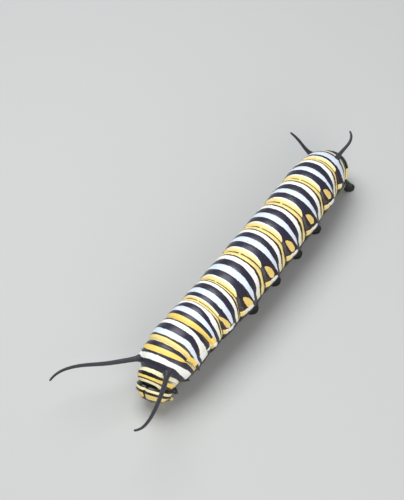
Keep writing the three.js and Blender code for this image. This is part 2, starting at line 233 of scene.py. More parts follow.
def band_edges(ring, turned):
    """Places of the seven band edges of a ring; turned is signed, in degrees from the back."""
    curves = SHIFT_CURVES.get(RINGS[ring][0], SHIFT_CURVES["other"])
    askew = SKEW.get(ring, 0) * math.sin(math.radians(turned - LEAN))
    share = SHIFT_SHARE.get(ring, 1)
    return [edge - share * curve(abs(turned)) + askew
            for edge, curve in zip(EDGES[ring], curves)]


@functools.lru_cache(maxsize=None)
def band_marks(turned):
    """Pairs of place and band number down one line of the skin, in rising order."""
    marks = [(edge, ring + share) for ring in range(len(RINGS))
             for edge, share in zip(band_edges(ring, turned), ORDER)]
    marks.append((BODY_LENGTH + 0.01, len(RINGS)))
    for i in range(1, len(marks)):
        marks[i] = (max(marks[i][0], marks[i - 1][0] + NARROWEST), marks[i][1])
    return marks


def band_place(at, turned):
    """Ring number plus the share of the order of bands passed at a place on the skin."""
    marks = band_marks(round(turned, 3))
    if at <= marks[0][0]:
        return 0.0
    for (low, a), (high, b) in zip(marks, marks[1:]):
        if at < high:
            return a + (b - a) * (at - low) / (high - low)
    return float(len(RINGS))


print("bands begin at, on abdomen_4:", [round(e, 2) for e in band_edges(6, 0)])


# %% [markdown]
# Low on each side the bands break up. The front yellow band narrows to a tip, and under it lies
# a black patch with a golden teardrop in it; a pale scallop marks the ridge of the flank. Each
# patch is a simple outline in millimetres behind the ring's front crease and degrees from the
# back. A vertex stores how deep inside the outline it lies, and the shader cuts at zero, which
# gives a clean curve between vertices.

# %% Patches of the flank
MM_PER_DEGREE = 0.0524
BLACK_FOOT = 88
FAR_OUTSIDE = -0.5
# The rear edge of the front yellow band, then of the crease that it runs into
LENS = through((0, 26, 31, 41, 48, 53, 57, 71, 86, 90),
               (0.8, 0.72, 0.62, 0.5, 0.35, 0.15, -0.02, -0.28, -0.47, -0.5))
TEARDROP = ((0.3, 61), (0.42, 57.5), (0.68, 61), (0.92, 68), (1.02, 76), (0.95, 83), (0.7, 87),
            (0.32, 86), (0.27, 73))
TEARDROP_MIDDLE = (0.65, 72)
# By ring: how far the teardrop is moved back and down, and its share of the usual size
TEARDROP_MOVED = {5: (0.2, 8, 1.05), 6: (0, 0, 1), 7: (0, 0, 1), 8: (0.07, -2, 0.9),
                  9: (0.04, -2, 0.92)}
SCALLOP = ((-0.35, 91), (0, 89), (0.35, 89), (0.9, 88), (1.12, 90), (1.3, 97), (0.7, 98),
           (0.1, 96))
FIRST_SPOT = ((0.02, 57), (0.12, 55), (0.29, 61), (0.49, 71), (0.67, 86), (0.4, 89), (0.1, 86))


def behind_crease(ring, outline):
    return [(EDGES[ring][0] + x, angle) for x, angle in outline]


def moved_teardrop(back, down, size):
    x0, angle0 = TEARDROP_MIDDLE
    return [(x0 + back + (x - x0) * size, angle0 + down + (angle - angle0) * size)
            for x, angle in TEARDROP]


# The thorax and the tail have patches of their own, in millimetres from the neck
GOLD_PATCHES = [
    behind_crease(4, FIRST_SPOT),
    [(0.7, 67), (0.95, 66), (1.15, 78), (1.1, 94), (0.8, 94)],
    [(3.72, 66), (4.12, 64), (4.3, 76), (4.3, 91), (3.95, 91)],
    [(6.7, 76), (7.2, 76), (7.3, 86), (7.1, 92), (6.6, 90)],
    *(behind_crease(ring, moved_teardrop(*moved)) for ring, moved in TEARDROP_MOVED.items()),
]
PALE_PATCHES = [
    [(4.85, 84), (5.5, 82), (5.9, 88), (5.85, 108), (5.0, 108)],
    [(1.42, 76), (1.7, 76), (1.82, 86), (1.8, 97), (1.5, 97)],
    [(33.3, 86), (33.7, 70), (34.5, 70), (34.9, 88), (34.6, 108), (33.6, 106)],
    *(behind_crease(ring, SCALLOP) for ring in range(3, 10)),
]


def inside(outline, at, angle):
    """Millimetres inside a convex outline, negative outside; its corners run clockwise."""
    depths = []
    for (x1, a1), (x2, a2) in zip(outline, outline[1:] + outline[:1]):
        along, over = x2 - x1, (a2 - a1) * MM_PER_DEGREE
        side = along * (angle - a1) * MM_PER_DEGREE - over * (at - x1)
        depths.append(side / math.hypot(along, over))
    return min(depths)


def patch_depth(patches, at, turned):
    """How deep inside the nearest patch a place lies."""
    near = [outline for outline in patches if abs(outline[0][0] - at) < 2]
    return max([inside(outline, at, abs(turned)) for outline in near] + [FAR_OUTSIDE])


def black_depth(at, turned):
    """How deep inside a black flank patch a place lies."""
    depth = FAR_OUTSIDE
    angle = abs(turned)
    lens = LENS(angle)
    for ring in range(4, 11):
        behind = at - EDGES[ring][0]
        if -1 < behind < 1.5:
            front = lens * SHIFT_SHARE.get(ring, 1) if lens < 0 else lens
            reach = EDGES[ring][2] - EDGES[ring][0]
            depth = max(depth, min(behind - front, reach - behind,
                                   (BLACK_FOOT - angle) * MM_PER_DEGREE))
    return depth


print("golden patches:", len(GOLD_PATCHES), "pale patches:", len(PALE_PATCHES))


# %% [markdown]
# Almost every piece of a larva is a tube: the trunk, a filament, a leg. One helper rolls a flat
# grid into a tube: each grid vertex knows how far along and how far round it is, a rule sends
# it to its place, and doubles are merged at the seam and the poles. That keeps the grid's even
# squares, which is kinder to the shading than a tube that is carved afterwards.

# %% Roll a grid into a closed tube
def into_scene(name, data):
    made = bpy.data.objects.new(name, data)
    bpy.context.scene.collection.objects.link(made)
    return made


def into_object(name, shape, materials):
    mesh = bpy.data.meshes.new(name)
    shape.to_mesh(mesh)
    shape.free()
    mesh.shade_smooth()
    for material in materials:
        mesh.materials.append(material)
    return into_scene(name, mesh)


def make_piece(name, shape, materials, slot, *nodes):
    """Makes an object that rides on the only body and stands for the nodes it is given."""
    piece = into_object(name, shape, materials)
    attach(piece, "root")
    if nodes:
        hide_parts(*nodes)
    print(name, "faces:", len(piece.data.polygons))


def roll_into(shape, along, around, place, marks=None, material=0):
    """Adds a closed tube to a bmesh. place(t, turn) is in millimetres, t and turn from 0 to 1."""
    numbers = shape.verts.layers.float
    rules = [(numbers.get(name) or numbers.new(name), rule) for name, rule in (marks or {}).items()]
    grid = bmesh.ops.create_grid(shape, x_segments=along, y_segments=around, size=0.5)["verts"]
    faces = {face for vert in grid for face in vert.link_faces}
    for vert in grid:
        t, turn = vert.co.x + 0.5, vert.co.y + 0.5
        for layer, rule in rules:
            vert[layer] = rule(t, turn)
        vert.co = place(t, turn) * MM
    for face in faces:
        face.material_index = material
    bmesh.ops.remove_doubles(shape, verts=grid, dist=1e-7)
    bmesh.ops.recalc_face_normals(shape, faces=[face for face in faces if face.is_valid])


def make_tube(name, steps, place, material, slot, node_name):
    """Makes a piece of one closed tube; steps are its grid squares along and around."""
    shape = bmesh.new()
    roll_into(shape, *steps, place)
    make_piece(name, shape, [material], slot, node_name)


def frames_along(points):
    """A left and an up at each point of a path, turned as little as may be from one to the next."""
    frames = []
    ahead = (points[1] - points[0]).normalized()
    left = Vector((0, 0, 1)).cross(ahead)
    left = (left if left.length > 0.1 else Vector((0, 1, 0)).cross(ahead)).normalized()
    for i, point in enumerate(points):
        ahead = points[min(i + 1, len(points) - 1)] - points[max(i - 1, 0)]
        left = (left - ahead * (left.dot(ahead) / ahead.length_squared)).normalized()
        frames.append((point, left, ahead.normalized().cross(left)))
    return frames


def limb_rule(points, thick):
    """The rule for a round limb along a path, closed at both ends; thick(t) is its radius."""
    frames = frames_along(points)

    def place(t, turn):
        step = t * (len(frames) - 1)
        k = min(int(step), len(frames) - 2)
        centre, left, up = (a.lerp(b, step - k) for a, b in zip(frames[k], frames[k + 1]))
        angle = turn * 2 * math.pi
        radius = thick(t) if 0 < t < 1 else 0
        return centre + left * (radius * math.cos(angle)) + up * (radius * math.sin(angle))

    return place


def bell(x, width):
    return math.exp(-(x / width) ** 2)


# %% [markdown]
# The skin itself. A full-grown larva is plump: each ring swells between deep creases, and
# five shallow folds cross it, roughly one to each band. Along the flank runs a scalloped
# ridge with the spiracles above it, and below it the belly is a little flatter. The fleshy
# bases of the legs, prolegs and filaments rise out of the same sheet, so no seam shows.

# %% Folds and swellings of the skin
CREASE = {"depth": 0.17, "width": 0.13}
FOLD = {"depth": 0.04, "width": 0.1}
FOLDS_AT = (0.16, 0.345, 0.55, 0.735, 0.87)
SWELL = 0.1
# Heights in millimetres, places and widths in degrees from the back
RIDGE = {"height": 0.26, "at": 93, "width": 11}
GROOVE = {"height": -0.12, "at": 113, "width": 8}
RIDGE_FROM, RIDGE_TO, RIDGE_FADE = 2, 34, 4
NECK_LIP = 0.45
FRONT_FILAMENT = {"long": 10.2, "at": 1.9, "round": 50, "flare": 0.2,
                  "radii": (0.29, 0.24, 0.2, 0.16, 0.11)}
REAR_FILAMENT = {"long": 4.1, "at": 32.6, "round": 36, "flare": 0.12,
                 "radii": (0.27, 0.21, 0.17, 0.15, 0.1)}
# By number of the proleg: its ring, and its foot's place along X
PROLEG_RINGS = {3: (5, 4.6), 4: (6, 0.2), 5: (7, -4.15), 6: (8, -8.2)}
PROLEG_AT = {number: MIDDLES[ring] + 0.15 * RINGS[ring][1]
             for number, (ring, _) in PROLEG_RINGS.items()}
# Place along the body, degrees from the back, height, reach along and reach round. The feet
# stand level while the back leans, so their swellings sit LEAN degrees off the mirror line.
LUMPS = []
for side, _ in SIDES:
    LUMPS.append((FRONT_FILAMENT["at"], side * FRONT_FILAMENT["round"], 0.3, 0.36, 0.4))
    LUMPS.append((REAR_FILAMENT["at"], side * REAR_FILAMENT["round"], 0.16, 0.28, 0.3))
    for at in PROLEG_AT.values():
        LUMPS.append((at, side * 143 + LEAN, 0.5, 0.75, 0.8))
    for ring in range(3):
        LUMPS.append((MIDDLES[ring] + 0.1, side * 152 + LEAN, 0.3, 0.5, 0.5))
    LUMPS.append((MIDDLES[ABDOMEN_9] + 0.2, side * 122 + LEAN, 0.4, 0.6, 0.7))


def end_share(at):
    """The body closes in a blunt lip at the neck and in a round dome at the tail."""
    if at < NECK_LIP:
        return 0.62 + 0.36 * math.sqrt(max(0, 1 - ((NECK_LIP - at) / 0.6) ** 2))
    if at > STARTS[ABDOMEN_10]:
        return math.sqrt(max(0, 1 - ((at - STARTS[ABDOMEN_10]) / RINGS[ABDOMEN_10][1]) ** 2))
    return 1


def fold_depth(turned, band):
    """How far the creases and folds draw the skin in, in millimetres."""
    ring = min(int(band), len(RINGS) - 1)
    share = band - ring
    length = RINGS[ring][1]
    to_crease = min(share, 1 - share) * length
    flank = 1 + 0.5 * bell(abs(turned) - 90, 35)
    depth = CREASE["depth"] * flank * bell(to_crease, CREASE["width"] * flank)
    for edge in FOLDS_AT:
        uneven = 0.7 + 0.6 * noise.noise(Vector((band * 3 + edge, turned / 40, 2.0)))
        depth += FOLD["depth"] * uneven * bell((share - edge) * length, FOLD["width"])
    return depth


def flank_height(at, turned, band):
    """The scalloped ridge along the flank and the groove under it."""
    share = band - int(band)
    scallop = 0.6 + 0.5 * math.cos(2 * math.pi * (share - 0.3))
    within = min(1, max(0, (at - RIDGE_FROM) / RIDGE_FADE), max(0, (RIDGE_TO - at) / RIDGE_FADE))
    ridge, groove = (form["height"] * bell(abs(turned) - form["at"], form["width"])
                     for form in (RIDGE, GROOVE))
    return (ridge * scallop + groove) * within


def skin_radius(at, turned):
    """Radius of the skin in millimetres; turned is signed, in degrees from the back."""
    band = band_place(at, turned)
    swell = math.sin(math.pi * (band - int(band))) if 1 < at < STARTS[ABDOMEN_9] else 0.5
    radius = radius_at(at) * 1.005 + SWELL * (swell - 0.5) - fold_depth(turned, band)
    radius += flank_height(at, turned, band)
    for place, angle, height, reach, width in LUMPS:
        if abs(at - place) < 3 * reach:
            aside = math.radians((turned - angle + 180) % 360 - 180) * radius
            radius += height * bell(at - place, reach) * bell(aside, width)
    radius += 0.012 * noise.noise(Vector((at * 2.2, turned / 14, 7.0)))
    return radius * end_share(at)


# %% Roll the skin
SKIN_FROM = -0.15
SKIN_STEPS = (440, 120)
# What a skin vertex carries for the shader, from its place along the body and its angle
SKIN_NUMBERS = {
    "band": band_place,
    "around": lambda at, turned: abs(turned),
    "black_patch": black_depth,
    "gold_patch": functools.partial(patch_depth, GOLD_PATCHES),
    "pale_patch": functools.partial(patch_depth, PALE_PATCHES),
}


def on_skin(t, turn):
    """Place along the body and degrees from the back; the rows draw together at the tail."""
    return SKIN_FROM + (BODY_LENGTH - SKIN_FROM) * (1 - (1 - t) ** 1.04), (turn - 0.5) * 360


def skin_point(at, turned, sink=0.0):
    return wall(at, turned - LEAN, skin_radius(at, turned) - sink)


def skin_place(t, turn):
    at, turned = on_skin(t, turn)
    return skin_point(at, turned) if 0 < t < 1 else section(at)[0]


def skin_mark(rule):
    return lambda t, turn: rule(*on_skin(t, turn))


skin_shape = bmesh.new()
roll_into(skin_shape, *SKIN_STEPS, skin_place,
          marks={name: skin_mark(rule) for name, rule in SKIN_NUMBERS.items()})


# %% [markdown]
# Materials. Insect skin is not one colour: fine grains, soft edges and a low sheen make it
# look alive. Shared effects are node groups, so that each material can take them with its own
# values. The helper below only wires math nodes; the recipes that follow read like sentences.

# %% A small way to write node sums
def feed(tree, made, inputs):
    """Gives sockets of a node a value each, or a link from the output that feeds them."""
    for socket, source in inputs.items():
        if isinstance(source, bpy.types.NodeSocket):
            tree.links.new(source, made.inputs[socket])
        else:
            made.inputs[socket].default_value = source


def node(tree, kind, inputs=None, **values):
    made = tree.nodes.new(kind)
    for key, value in values.items():
        setattr(made, key, value)
    feed(tree, made, inputs or {})
    return made


def sum_of(tree, operation, *terms):
    return node(tree, "ShaderNodeMath", dict(enumerate(terms)), operation=operation).outputs[0]


def times(tree, *terms):
    return functools.reduce(functools.partial(sum_of, tree, "MULTIPLY"), terms)


def minus(tree, first, second):
    return sum_of(tree, "SUBTRACT", first, second)


def step_up(tree, value, low, high):
    """Smoothly from 0 at low to 1 at high."""
    return node(tree, "ShaderNodeMapRange", {0: value, 1: low, 2: high},
                interpolation_type="SMOOTHSTEP").outputs[0]


def between(tree, value, low, high, soft):
    return times(tree, step_up(tree, value, low - soft, low + soft),
                 step_up(tree, value, high + soft, high - soft))


def mix_colour(tree, share, first, second):
    return node(tree, "ShaderNodeMix", {0: share, 6: first, 7: second},
                data_type="RGBA").outputs[2]


def mottle(tree, scale, detail, offset=(0, 0, 0)):
    """Noise on the piece's own coordinates, from 0 to 1; scale is in spots per millimetre."""
    moved = node(tree, "ShaderNodeMapping", {
        "Vector": node(tree, "ShaderNodeTexCoord").outputs["Object"],
        "Location": [c * MM for c in offset]})
    return node(tree, "ShaderNodeTexNoise", {
        "Vector": moved.outputs[0], "Scale": scale / MM, "Detail": detail}).outputs[0]


def attribute(tree, name):
    return node(tree, "ShaderNodeAttribute", attribute_name=name).outputs["Fac"]


def start_group(name, inputs, outputs):
    """A node group that takes numbers; returns it, what it is given and its output node."""
    group = bpy.data.node_groups.new(name, "ShaderNodeTree")
    for label, value in inputs.items():
        socket = group.interface.new_socket(label, in_out="INPUT", socket_type="NodeSocketFloat")
        socket.default_value = value
    for label, kind in outputs.items():
        group.interface.new_socket(label, in_out="OUTPUT", socket_type=kind)
    return group, node(group, "NodeGroupInput").outputs, node(group, "NodeGroupOutput")


# %% Colours of the living animal; the bluish tint of the wide white and of the black is a painted reflection of the sky
def srgb(red, green, blue):
    """A colour as seen on a screen, turned into the linear values that shaders take."""
    def linear(c):
        c /= 255
        return c / 12.92 if c <= 0.04045 else ((c + 0.055) / 1.055) ** 2.4
    return (linear(red), linear(green), linear(blue), 1)


# The wide white is tinted blue by a painted reflection of the sky.
SKY_TINTED_WIDE_WHITE = srgb(224, 232, 246)
NARROW_WHITE = srgb(247, 246, 240)
CREAM = srgb(249, 238, 194)
YELLOW = srgb(249, 224, 146)
GOLD = srgb(249, 214, 108)
SPOT = srgb(238, 206, 120)
# The black is tinted blue by a painted reflection of the sky on its glossy skin.
SKY_TINTED_BLACK = srgb(42, 39, 56)
FLANK_BLACK = srgb(46, 35, 36)
INK = srgb(14, 13, 15)
LINE_BROWN = srgb(62, 44, 22)


# %% [markdown]
# Band paint. A colour ramp holds the order of bands. The front rings and the tail break the
# order, so each has a ramp of its own. Before the ramp is read, slow noise nudges the band
# number a little: real bands have wavering edges, never ruled ones.

# %% Ramps of the bands
def ramp(tree, value, stops):
    made = node(tree, "ShaderNodeValToRGB", {0: value})
    made.color_ramp.interpolation = "CONSTANT"
    elements = made.color_ramp.elements
    elements[0].position, elements[0].color = stops[0]
    elements.remove(elements[1])
    for place, colour in stops[1:]:
        elements.new(place).color = colour
    return made.outputs[0]


# The black and the wide white in these ramps carry a painted bluish reflection of the sky.
ABDOMEN_BANDS = {
    0: (YELLOW, SKY_TINTED_BLACK, SKY_TINTED_WIDE_WHITE, SKY_TINTED_BLACK, NARROW_WHITE, LINE_BROWN, YELLOW),
}
FRONT_BANDS = {
    0: (INK, CREAM, LINE_BROWN, GOLD, INK, CREAM, CREAM),
    1: (SKY_TINTED_BLACK, NARROW_WHITE, SKY_TINTED_BLACK, GOLD, SKY_TINTED_BLACK, SKY_TINTED_BLACK, SKY_TINTED_BLACK),
    2: (YELLOW, LINE_BROWN, SKY_TINTED_WIDE_WHITE, SKY_TINTED_BLACK, NARROW_WHITE, SKY_TINTED_BLACK, SKY_TINTED_BLACK),
    3: (GOLD, SKY_TINTED_BLACK, SKY_TINTED_WIDE_WHITE, SKY_TINTED_BLACK, NARROW_WHITE, LINE_BROWN, YELLOW),
}
TAIL_BANDS = {
    0: (YELLOW, SKY_TINTED_BLACK, SKY_TINTED_WIDE_WHITE, SKY_TINTED_BLACK, CREAM, SKY_TINTED_BLACK, SKY_TINTED_BLACK),
    1: (INK,) * 7,
    2: (INK,) * 7,
}
FRONT_RINGS = len(FRONT_BANDS)
TAIL_RINGS = len(TAIL_BANDS)
TAIL_START = len(RINGS) - TAIL_RINGS


def spread_bands(rows):
    """Puts the bands of a few rings one after another on a single ramp."""
    return [((ring + share) / len(rows), colour)
            for ring, colours in rows.items() for share, colour in zip(ORDER, colours)]


# %% The band group
bands, given, out = start_group("larva bands", dict.fromkeys(SKIN_NUMBERS, 0.0),
                                {"Color": "NodeSocketColor", "Pale": "NodeSocketFloat"})
waver = minus(bands, mottle(bands, 0.9, 2.0), 0.5)
ripple = minus(bands, mottle(bands, 4.0, 3.0), 0.5)
nudge = sum_of(bands, "MULTIPLY_ADD", waver, 0.03, times(bands, ripple, 0.02))
band = sum_of(bands, "ADD", given["band"], nudge)
around = sum_of(bands, "MULTIPLY_ADD", ripple, 6.0, given["around"])
share = sum_of(bands, "FRACT", band)

# The front rings and the tail break the order of the abdomen
front_share = sum_of(bands, "DIVIDE", band, FRONT_RINGS)
tail_share = sum_of(bands, "DIVIDE", minus(bands, band, TAIL_START), TAIL_RINGS)
front_paint = ramp(bands, front_share, spread_bands(FRONT_BANDS))
tail_paint = ramp(bands, tail_share, spread_bands(TAIL_BANDS))
in_front = sum_of(bands, "LESS_THAN", band, FRONT_RINGS)
in_tail = sum_of(bands, "GREATER_THAN", band, TAIL_START)

# The front yellow pales toward its rear edge, and white turns to cream down the flank
YELLOW_END, NARROW_START, NARROW_END = ORDER[1], ORDER[4], ORDER[5]
pale_yellow = times(bands, step_up(bands, share, 0.06, 0.15), between(bands, band, 3.9, 10.2, 0.01),
                    sum_of(bands, "LESS_THAN", share, YELLOW_END))
low_white = times(bands, step_up(bands, around, 60.0, 98.0),
                  between(bands, share, NARROW_START, NARROW_END, 0.001), 0.8)

# The crease is a thin dark line across the back, broken for a moment at its middle: partly the dark
# skin of the fold, partly painted shade in it
calm_band = sum_of(bands, "MULTIPLY_ADD", waver, 0.02, given["band"])
crease_line_and_shade = times(bands, step_up(bands, sum_of(bands, "PINGPONG", calm_band, 0.5), 0.021, 0.013),
                    step_up(bands, around, 1.5, 3.5), between(bands, band, 3.9, 10.1, 0.01))

# The wide white band ends in black just above the ridge of the flank
white_end = times(bands, step_up(bands, around, 86.5, 87.5),
                  between(bands, share, YELLOW_END, 0.735, 0.002),
                  sum_of(bands, "GREATER_THAN", band, 3.0))

# Patches are cut where their depth passes zero
CUT_SOFT = 0.008
edge_ripple = times(bands, ripple, 0.16)
black_cut, gold_cut, pale_cut = (
    step_up(bands, sum_of(bands, "ADD", given[name], edge_ripple), -CUT_SOFT, CUT_SOFT)
    for name in ("black_patch", "gold_patch", "pale_patch"))
# Lower on the flank the black patches turn from the black with its painted sky reflection to a
# brownish black.
patch_black = mix_colour(bands, step_up(bands, around, 52.0, 72.0), SKY_TINTED_BLACK, FLANK_BLACK)
patch_gold = mix_colour(bands, step_up(bands, band, 3.9, 4.1), GOLD, SPOT)
whiter = times(bands, step_up(bands, share, 0.04, 0.22), step_up(bands, band, 10.1, 10.0))
patch_pale = mix_colour(bands, whiter, YELLOW, NARROW_WHITE)

# The belly is black below a scalloped edge, which lies lower on the front rings
BELLY_FROM, BELLY_TO_RING, FRONT_DROP = 100.0, 11.5, 9.0
scallop = sum_of(bands, "COSINE", times(bands, share, 2 * math.pi))
drop = sum_of(bands, "ADD", times(bands, step_up(bands, band, 4.0, 3.0), FRONT_DROP), BELLY_FROM)
below = minus(bands, around, sum_of(bands, "MULTIPLY_ADD", scallop, 1.5, drop))
belly = times(bands, step_up(bands, below, -0.5, 0.5),
              sum_of(bands, "LESS_THAN", band, BELLY_TO_RING))

# Each layer covers the ones before it
paint = ramp(bands, share, spread_bands(ABDOMEN_BANDS))
for cover, colour in (
        (in_front, front_paint), (in_tail, tail_paint), (pale_yellow, NARROW_WHITE),
        (low_white, CREAM), (crease_line_and_shade, LINE_BROWN), (white_end, SKY_TINTED_BLACK),
        (black_cut, patch_black), (gold_cut, patch_gold), (pale_cut, patch_pale), (belly, INK)):
    paint = mix_colour(bands, cover, paint, colour)
brightness = node(bands, "ShaderNodeRGBToBW", {0: paint}).outputs[0]
feed(bands, out, {"Color": paint, "Pale": step_up(bands, brightness, 0.05, 0.3)})

# %% [markdown]
# Grain. Close up, larval skin is covered in tiny granules, with fine rings of wrinkles. Both
# are too small for the mesh, so one group gives them as a height for a Bump node, and a faint
# unevenness for colour and roughness.

# %% The grain group
grain, given, out = start_group(
    "skin grain", {"Granules": 1.0, "Wrinkles": 1.0},
    {"Height": "NodeSocketFloat", "Uneven": "NodeSocketFloat"})
place_on_piece = node(grain, "ShaderNodeTexCoord").outputs["Object"]
cells = node(grain, "ShaderNodeTexVoronoi", {"Vector": place_on_piece, "Scale": 9.0 / MM})
granule = minus(grain, 1.0, cells.outputs["Distance"])
stretch = node(grain, "ShaderNodeMapping", {"Vector": place_on_piece, "Scale": (3.4, 0.7, 0.7)})
creases = node(grain, "ShaderNodeTexNoise", {
    "Vector": stretch.outputs[0], "Scale": 1.5 / MM, "Detail": 4.0})
height = times(grain, granule, given["Granules"])
height = sum_of(grain, "MULTIPLY_ADD", creases.outputs[0], given["Wrinkles"], height)
feed(grain, out, {"Height": height, "Uneven": mottle(grain, 1.6, 4.0, (3, 1, 2))})


# %% One recipe for each finish
def finish_of(name, rough, bump, granules, wrinkles, colour, sheen=0.0, coat=0.0, soft=0.0,
              uneven=0.12):
    """A material with grain; colour is a fixed colour or a function that wires one."""
    material = bpy.data.materials.new(name)
    material.use_nodes = True
    tree = material.node_tree
    texture = node(tree, "ShaderNodeGroup", {"Granules": granules, "Wrinkles": wrinkles},
                   node_tree=grain)
    paint, roughness = colour(tree) if callable(colour) else (colour, rough)
    mottled = texture.outputs["Uneven"]
    shade = node(tree, "ShaderNodeHueSaturation", {
        "Color": paint,
        "Value": sum_of(tree, "MULTIPLY_ADD", mottled, uneven * 2, 1 - uneven)})
    worn = sum_of(tree, "MULTIPLY_ADD", mottled, 0.16, -0.08)
    relief = node(tree, "ShaderNodeBump", {
        "Strength": bump, "Distance": 0.03 * MM, "Height": texture.outputs["Height"]})
    feed(tree, tree.nodes["Principled BSDF"], {
        "Base Color": shade.outputs[0], "Roughness": sum_of(tree, "ADD", roughness, worn),
        "Normal": relief.outputs[0], "Sheen Weight": sheen, "Coat Weight": coat,
        "Coat Roughness": 0.25, "Subsurface Weight": soft, "Subsurface Scale": 1.0,
        "Subsurface Radius": (0.5 * MM, 0.35 * MM, 0.2 * MM)})
    return material


def banded_colour(tree):
    paint = node(tree, "ShaderNodeGroup", {name: attribute(tree, name) for name in SKIN_NUMBERS},
                 node_tree=bands)
    return paint.outputs["Color"], sum_of(tree, "MULTIPLY_ADD", paint.outputs["Pale"], 0.12, 0.36)


# Name, roughness, strength of relief, granules, wrinkles and colour
banded_skin = finish_of("banded skin", 0.45, 0.5, 0.5, 1.0, banded_colour, soft=0.08)
filament_skin = finish_of("filament skin", 0.5, 0.6, 1.0, 0.6, srgb(36, 34, 42), sheen=0.15)
proleg_skin = finish_of("proleg skin", 0.5, 0.7, 1.0, 1.0, srgb(16, 15, 18))
leg_shell = finish_of("leg shell", 0.3, 0.2, 0.4, 0.3, srgb(14, 13, 15), coat=0.3)
jaw_shell = finish_of("jaw shell", 0.25, 0.2, 0.3, 0.3, srgb(22, 14, 10), coat=0.4)
lip_shell = finish_of("lip shell", 0.3, 0.2, 0.4, 0.3, srgb(205, 178, 110), coat=0.2)
eye_shell = finish_of("eye shell", 0.1, 0.05, 0.2, 0.1, srgb(10, 9, 10), coat=0.6)
antenna_shell = finish_of("antenna shell", 0.35, 0.2, 0.4, 0.2, srgb(226, 205, 150))
spiracle_rim = finish_of("spiracle rim", 0.4, 0.2, 0.3, 0.3, srgb(74, 64, 62))
hook_amber = finish_of("hook amber", 0.3, 0.1, 0.2, 0.2, srgb(120, 70, 25))
hair_pale = finish_of("pale hair", 0.5, 0.1, 0.2, 0.2, srgb(120, 112, 100))

make_piece("skin", skin_shape, [banded_skin], "banded_skin", *(ring[0] for ring in RINGS))

# %% [markdown]
# The head is a hard, glossy capsule, tucked under the first ring with its face to the floor.
# Two swollen cheeks meet at a seam that splits above the mouth and frames a triangle, the
# frons. A sphere is the right start: its poles go to the face and the neck, and each vertex is
# moved by the same rule as in the solid, with the fine seams pressed in.

# %% Head capsule
HEAD = {"centre": (19.43, -0.61, 2.47), "down": 42, "roll": 13, "half_width": 1.95,
        "half_height": 1.86, "front": 1.44, "back": 0.72}
# The source centres its box here, so places given as in the source are moved by this much
BOX_MIDDLE = Vector((5.42, -2.44, 0))
face = heading(BEND[0], -HEAD["down"])
head_left = Vector((0, 0, 1)).cross(face).normalized()
twist = Matrix.Rotation(math.radians(HEAD["roll"]), 3, "X")
face, head_left = twist @ face, twist @ head_left
head_up = face.cross(head_left)
head_centre = Vector(HEAD["centre"]) - BOX_MIDDLE
FRONS_TOP, FRONS_FOOT, FRONS_HALF = 0.36, -0.74, 0.34
FRONS_TALL = FRONS_TOP - FRONS_FOOT


def in_head(forward, left, up):
    return head_centre + face * forward + head_left * left + head_up * up


def seam_distance(left, up):
    """Distance on the face from the seam: one line over the crown, two beside the frons."""
    if up > FRONS_TOP:
        return abs(left)
    lean = FRONS_HALF * (FRONS_TOP - up) / FRONS_TALL
    return abs(abs(left) - lean) * 0.93


def shell_point(direction):
    """Head surface in the direction (forward, left, up), each from -1 to 1."""
    forward, left, up = direction
    reach = HEAD["front"] if forward > 0 else HEAD["back"]
    lobes = 0.1 * bell(left, 0.13) * max(0, up + 0.1)
    jaw = 1 - 0.16 * up * up if up < 0 else 1
    groove = 0
    if up > FRONS_FOOT:
        groove = 0.035 * bell(seam_distance(left, up), 0.03) * min(1, max(0, forward + 0.6))
    inside_frons = up < FRONS_TOP and abs(left) < FRONS_HALF * (FRONS_TOP - up) / FRONS_TALL
    if inside_frons and forward > 0 and up > FRONS_FOOT:
        groove += 0.02
    return in_head(reach * forward * (1 - lobes * 0.5) - groove,
                   HEAD["half_width"] * left * jaw,
                   HEAD["half_height"] * up * (1 - lobes) - groove * up)


def head_shape():
    shape = bmesh.new()
    layers = [shape.verts.layers.float.new(name) for name in ("depth", "across", "height")]
    bmesh.ops.create_uvsphere(shape, u_segments=112, v_segments=72, radius=1)
    for vert in shape.verts:
        direction = vert.co.zxy
        for layer, value in zip(layers, direction):
            vert[layer] = value
        vert.co = shell_point(direction) * MM
    bmesh.ops.recalc_face_normals(shape, faces=shape.faces)
    return shape


# %% [markdown]
# Head paint. Seen from the front, a monarch larva's face wears nested arches: an outer pale
# one at the back rim, a black one, a wide yellow one and the black seam with its yellow
# triangle. Each arch is a range of one number, the distance from the middle of the face.

# %% Paint of the head
HEAD_YELLOW = srgb(244, 214, 128)
HEAD_CREAM = srgb(246, 234, 184)
# Cosines of the angle from the middle of the face at which the arches begin and end
OUTER_ARCH = (-0.06, 0.16)
INNER_ARCH = (0.36, 0.72)
ARCH_MIDDLE = 0.56
ARCH_SOFT = 0.015
# Degrees round the face from the crown, and degrees from the middle of the face
EYES = ((118, 50), (112, 60), (114, 70), (122, 77), (131, 72), (136, 56))
EYE_RADIUS = 0.12


